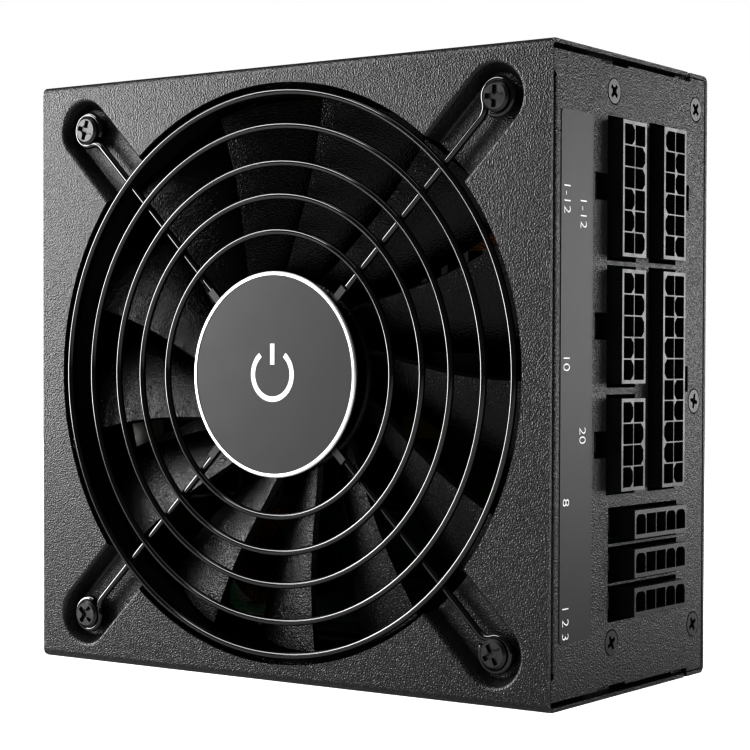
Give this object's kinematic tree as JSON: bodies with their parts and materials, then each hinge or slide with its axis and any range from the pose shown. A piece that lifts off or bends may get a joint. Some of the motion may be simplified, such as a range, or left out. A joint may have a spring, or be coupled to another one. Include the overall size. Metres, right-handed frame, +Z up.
{
  "type": "power supply unit",
  "caption": "Compact modular computer power supply: folded steel case, guarded intake fan, socket panel, mains inlet and rocker switch.",
  "frame": {"origin": "centre of the narrow side the unit stands on, on the supporting surface", "axes": "+X from the mains side to the output sockets, +Y from the fan side to the plain back, +Z up"},
  "size_m": [0.1356, 0.0643, 0.125],
  "materials": {
    "case_steel": "fine textured black powder coat",
    "grille_wire": "gloss black coated wire",
    "tab_steel": "bright sheet metal",
    "badge_plate": "satin dark grey",
    "badge_trim": "bright turned edge",
    "black_screws": "black oxide",
    "fan_plastic": "black, faintly satin",
    "shaft_steel": "ground",
    "magnet": "bonded ferrite",
    "bearing_brass": "sintered",
    "stator_iron": "laminated",
    "socket_plastic": "black moulded nylon",
    "pin_metal": "tin plated brass",
    "circuit_board": "green solder mask",
    "bracket_steel": "plated sheet steel",
    "label_film": "satin dark film",
    "inlet_plastic": "black thermoplastic",
    "rocker_plastic": "gloss black",
    "standoff_brass": "turned",
    "plated_screws": "zinc plated",
    "insulator": "translucent film",
    "capacitor_sleeve": "shrink sleeve",
    "ferrite": "sintered ferrite",
    "copper_wire": "enamelled copper",
    "winding_tape": "polyester tape",
    "heatsink_aluminium": "mill finish",
    "film_capacitor": "moulded case",
    "wire_insulation": "soft vinyl"
  },
  "bodies": {
    "case": {"fan_cover": "case_steel", "base_shell": "case_steel", "fan_grille": "grille_wire", "badge_bracket": "tab_steel", "grille_badge": "badge_plate", "badge_ring": "badge_trim", "grille_screws": "black_screws", "cover_screws": "black_screws", "bracket_screws": "black_screws", "mains_cover_screws": "black_screws", "fan_frame": "fan_plastic", "fan_bearing": "bearing_brass", "fan_stator": "stator_iron", "socket_12_pin_left": "socket_plastic", "socket_12_pin_right": "socket_plastic", "socket_10_pin": "socket_plastic", "socket_8_pin": "socket_plastic", "socket_20_pin": "socket_plastic", "drive_socket_1": "socket_plastic", "drive_socket_2": "socket_plastic", "drive_socket_3": "socket_plastic", "socket_pins": "pin_metal", "inlet_blades": "pin_metal", "switch_terminals": "pin_metal", "connector_board": "circuit_board", "main_board": "circuit_board", "control_board": "circuit_board", "board_bracket": "bracket_steel", "port_label": "label_film", "ac_inlet": "inlet_plastic", "switch_housing": "inlet_plastic", "standoffs": "standoff_brass", "board_screws": "plated_screws", "insulating_sheet": "insulator", "bulk_capacitor": "capacitor_sleeve", "output_capacitors": "capacitor_sleeve", "emi_choke_core": "ferrite", "pfc_choke_core": "ferrite", "output_choke_core": "ferrite", "transformer_core": "ferrite", "emi_choke_winding": "copper_wire", "pfc_choke_winding": "copper_wire", "output_choke_winding": "copper_wire", "transformer_winding": "winding_tape", "primary_heatsink": "heatsink_aluminium", "secondary_heatsink": "heatsink_aluminium", "x_capacitors": "film_capacitor", "fan_lead": "wire_insulation", "mains_leads": "wire_insulation"},
    "rotor": {"fan_rotor": "fan_plastic", "rotor_shaft": "shaft_steel", "rotor_magnet": "magnet"},
    "rocker": {"switch_rocker": "rocker_plastic"}
  },
  "joints": [
    {"name": "fan_spin", "type": "hinge", "parent": "case", "child": "rotor", "pos_m": [0, -0.02, 0.0625], "axis": [0, -1, 0], "continuous": true},
    {"name": "switch_rock", "type": "hinge", "parent": "case", "child": "rocker", "pos_m": [-0.0645, 0.002, 0.066], "axis": [0, 0, 1], "range_deg": [-20, 0]}
  ]
}
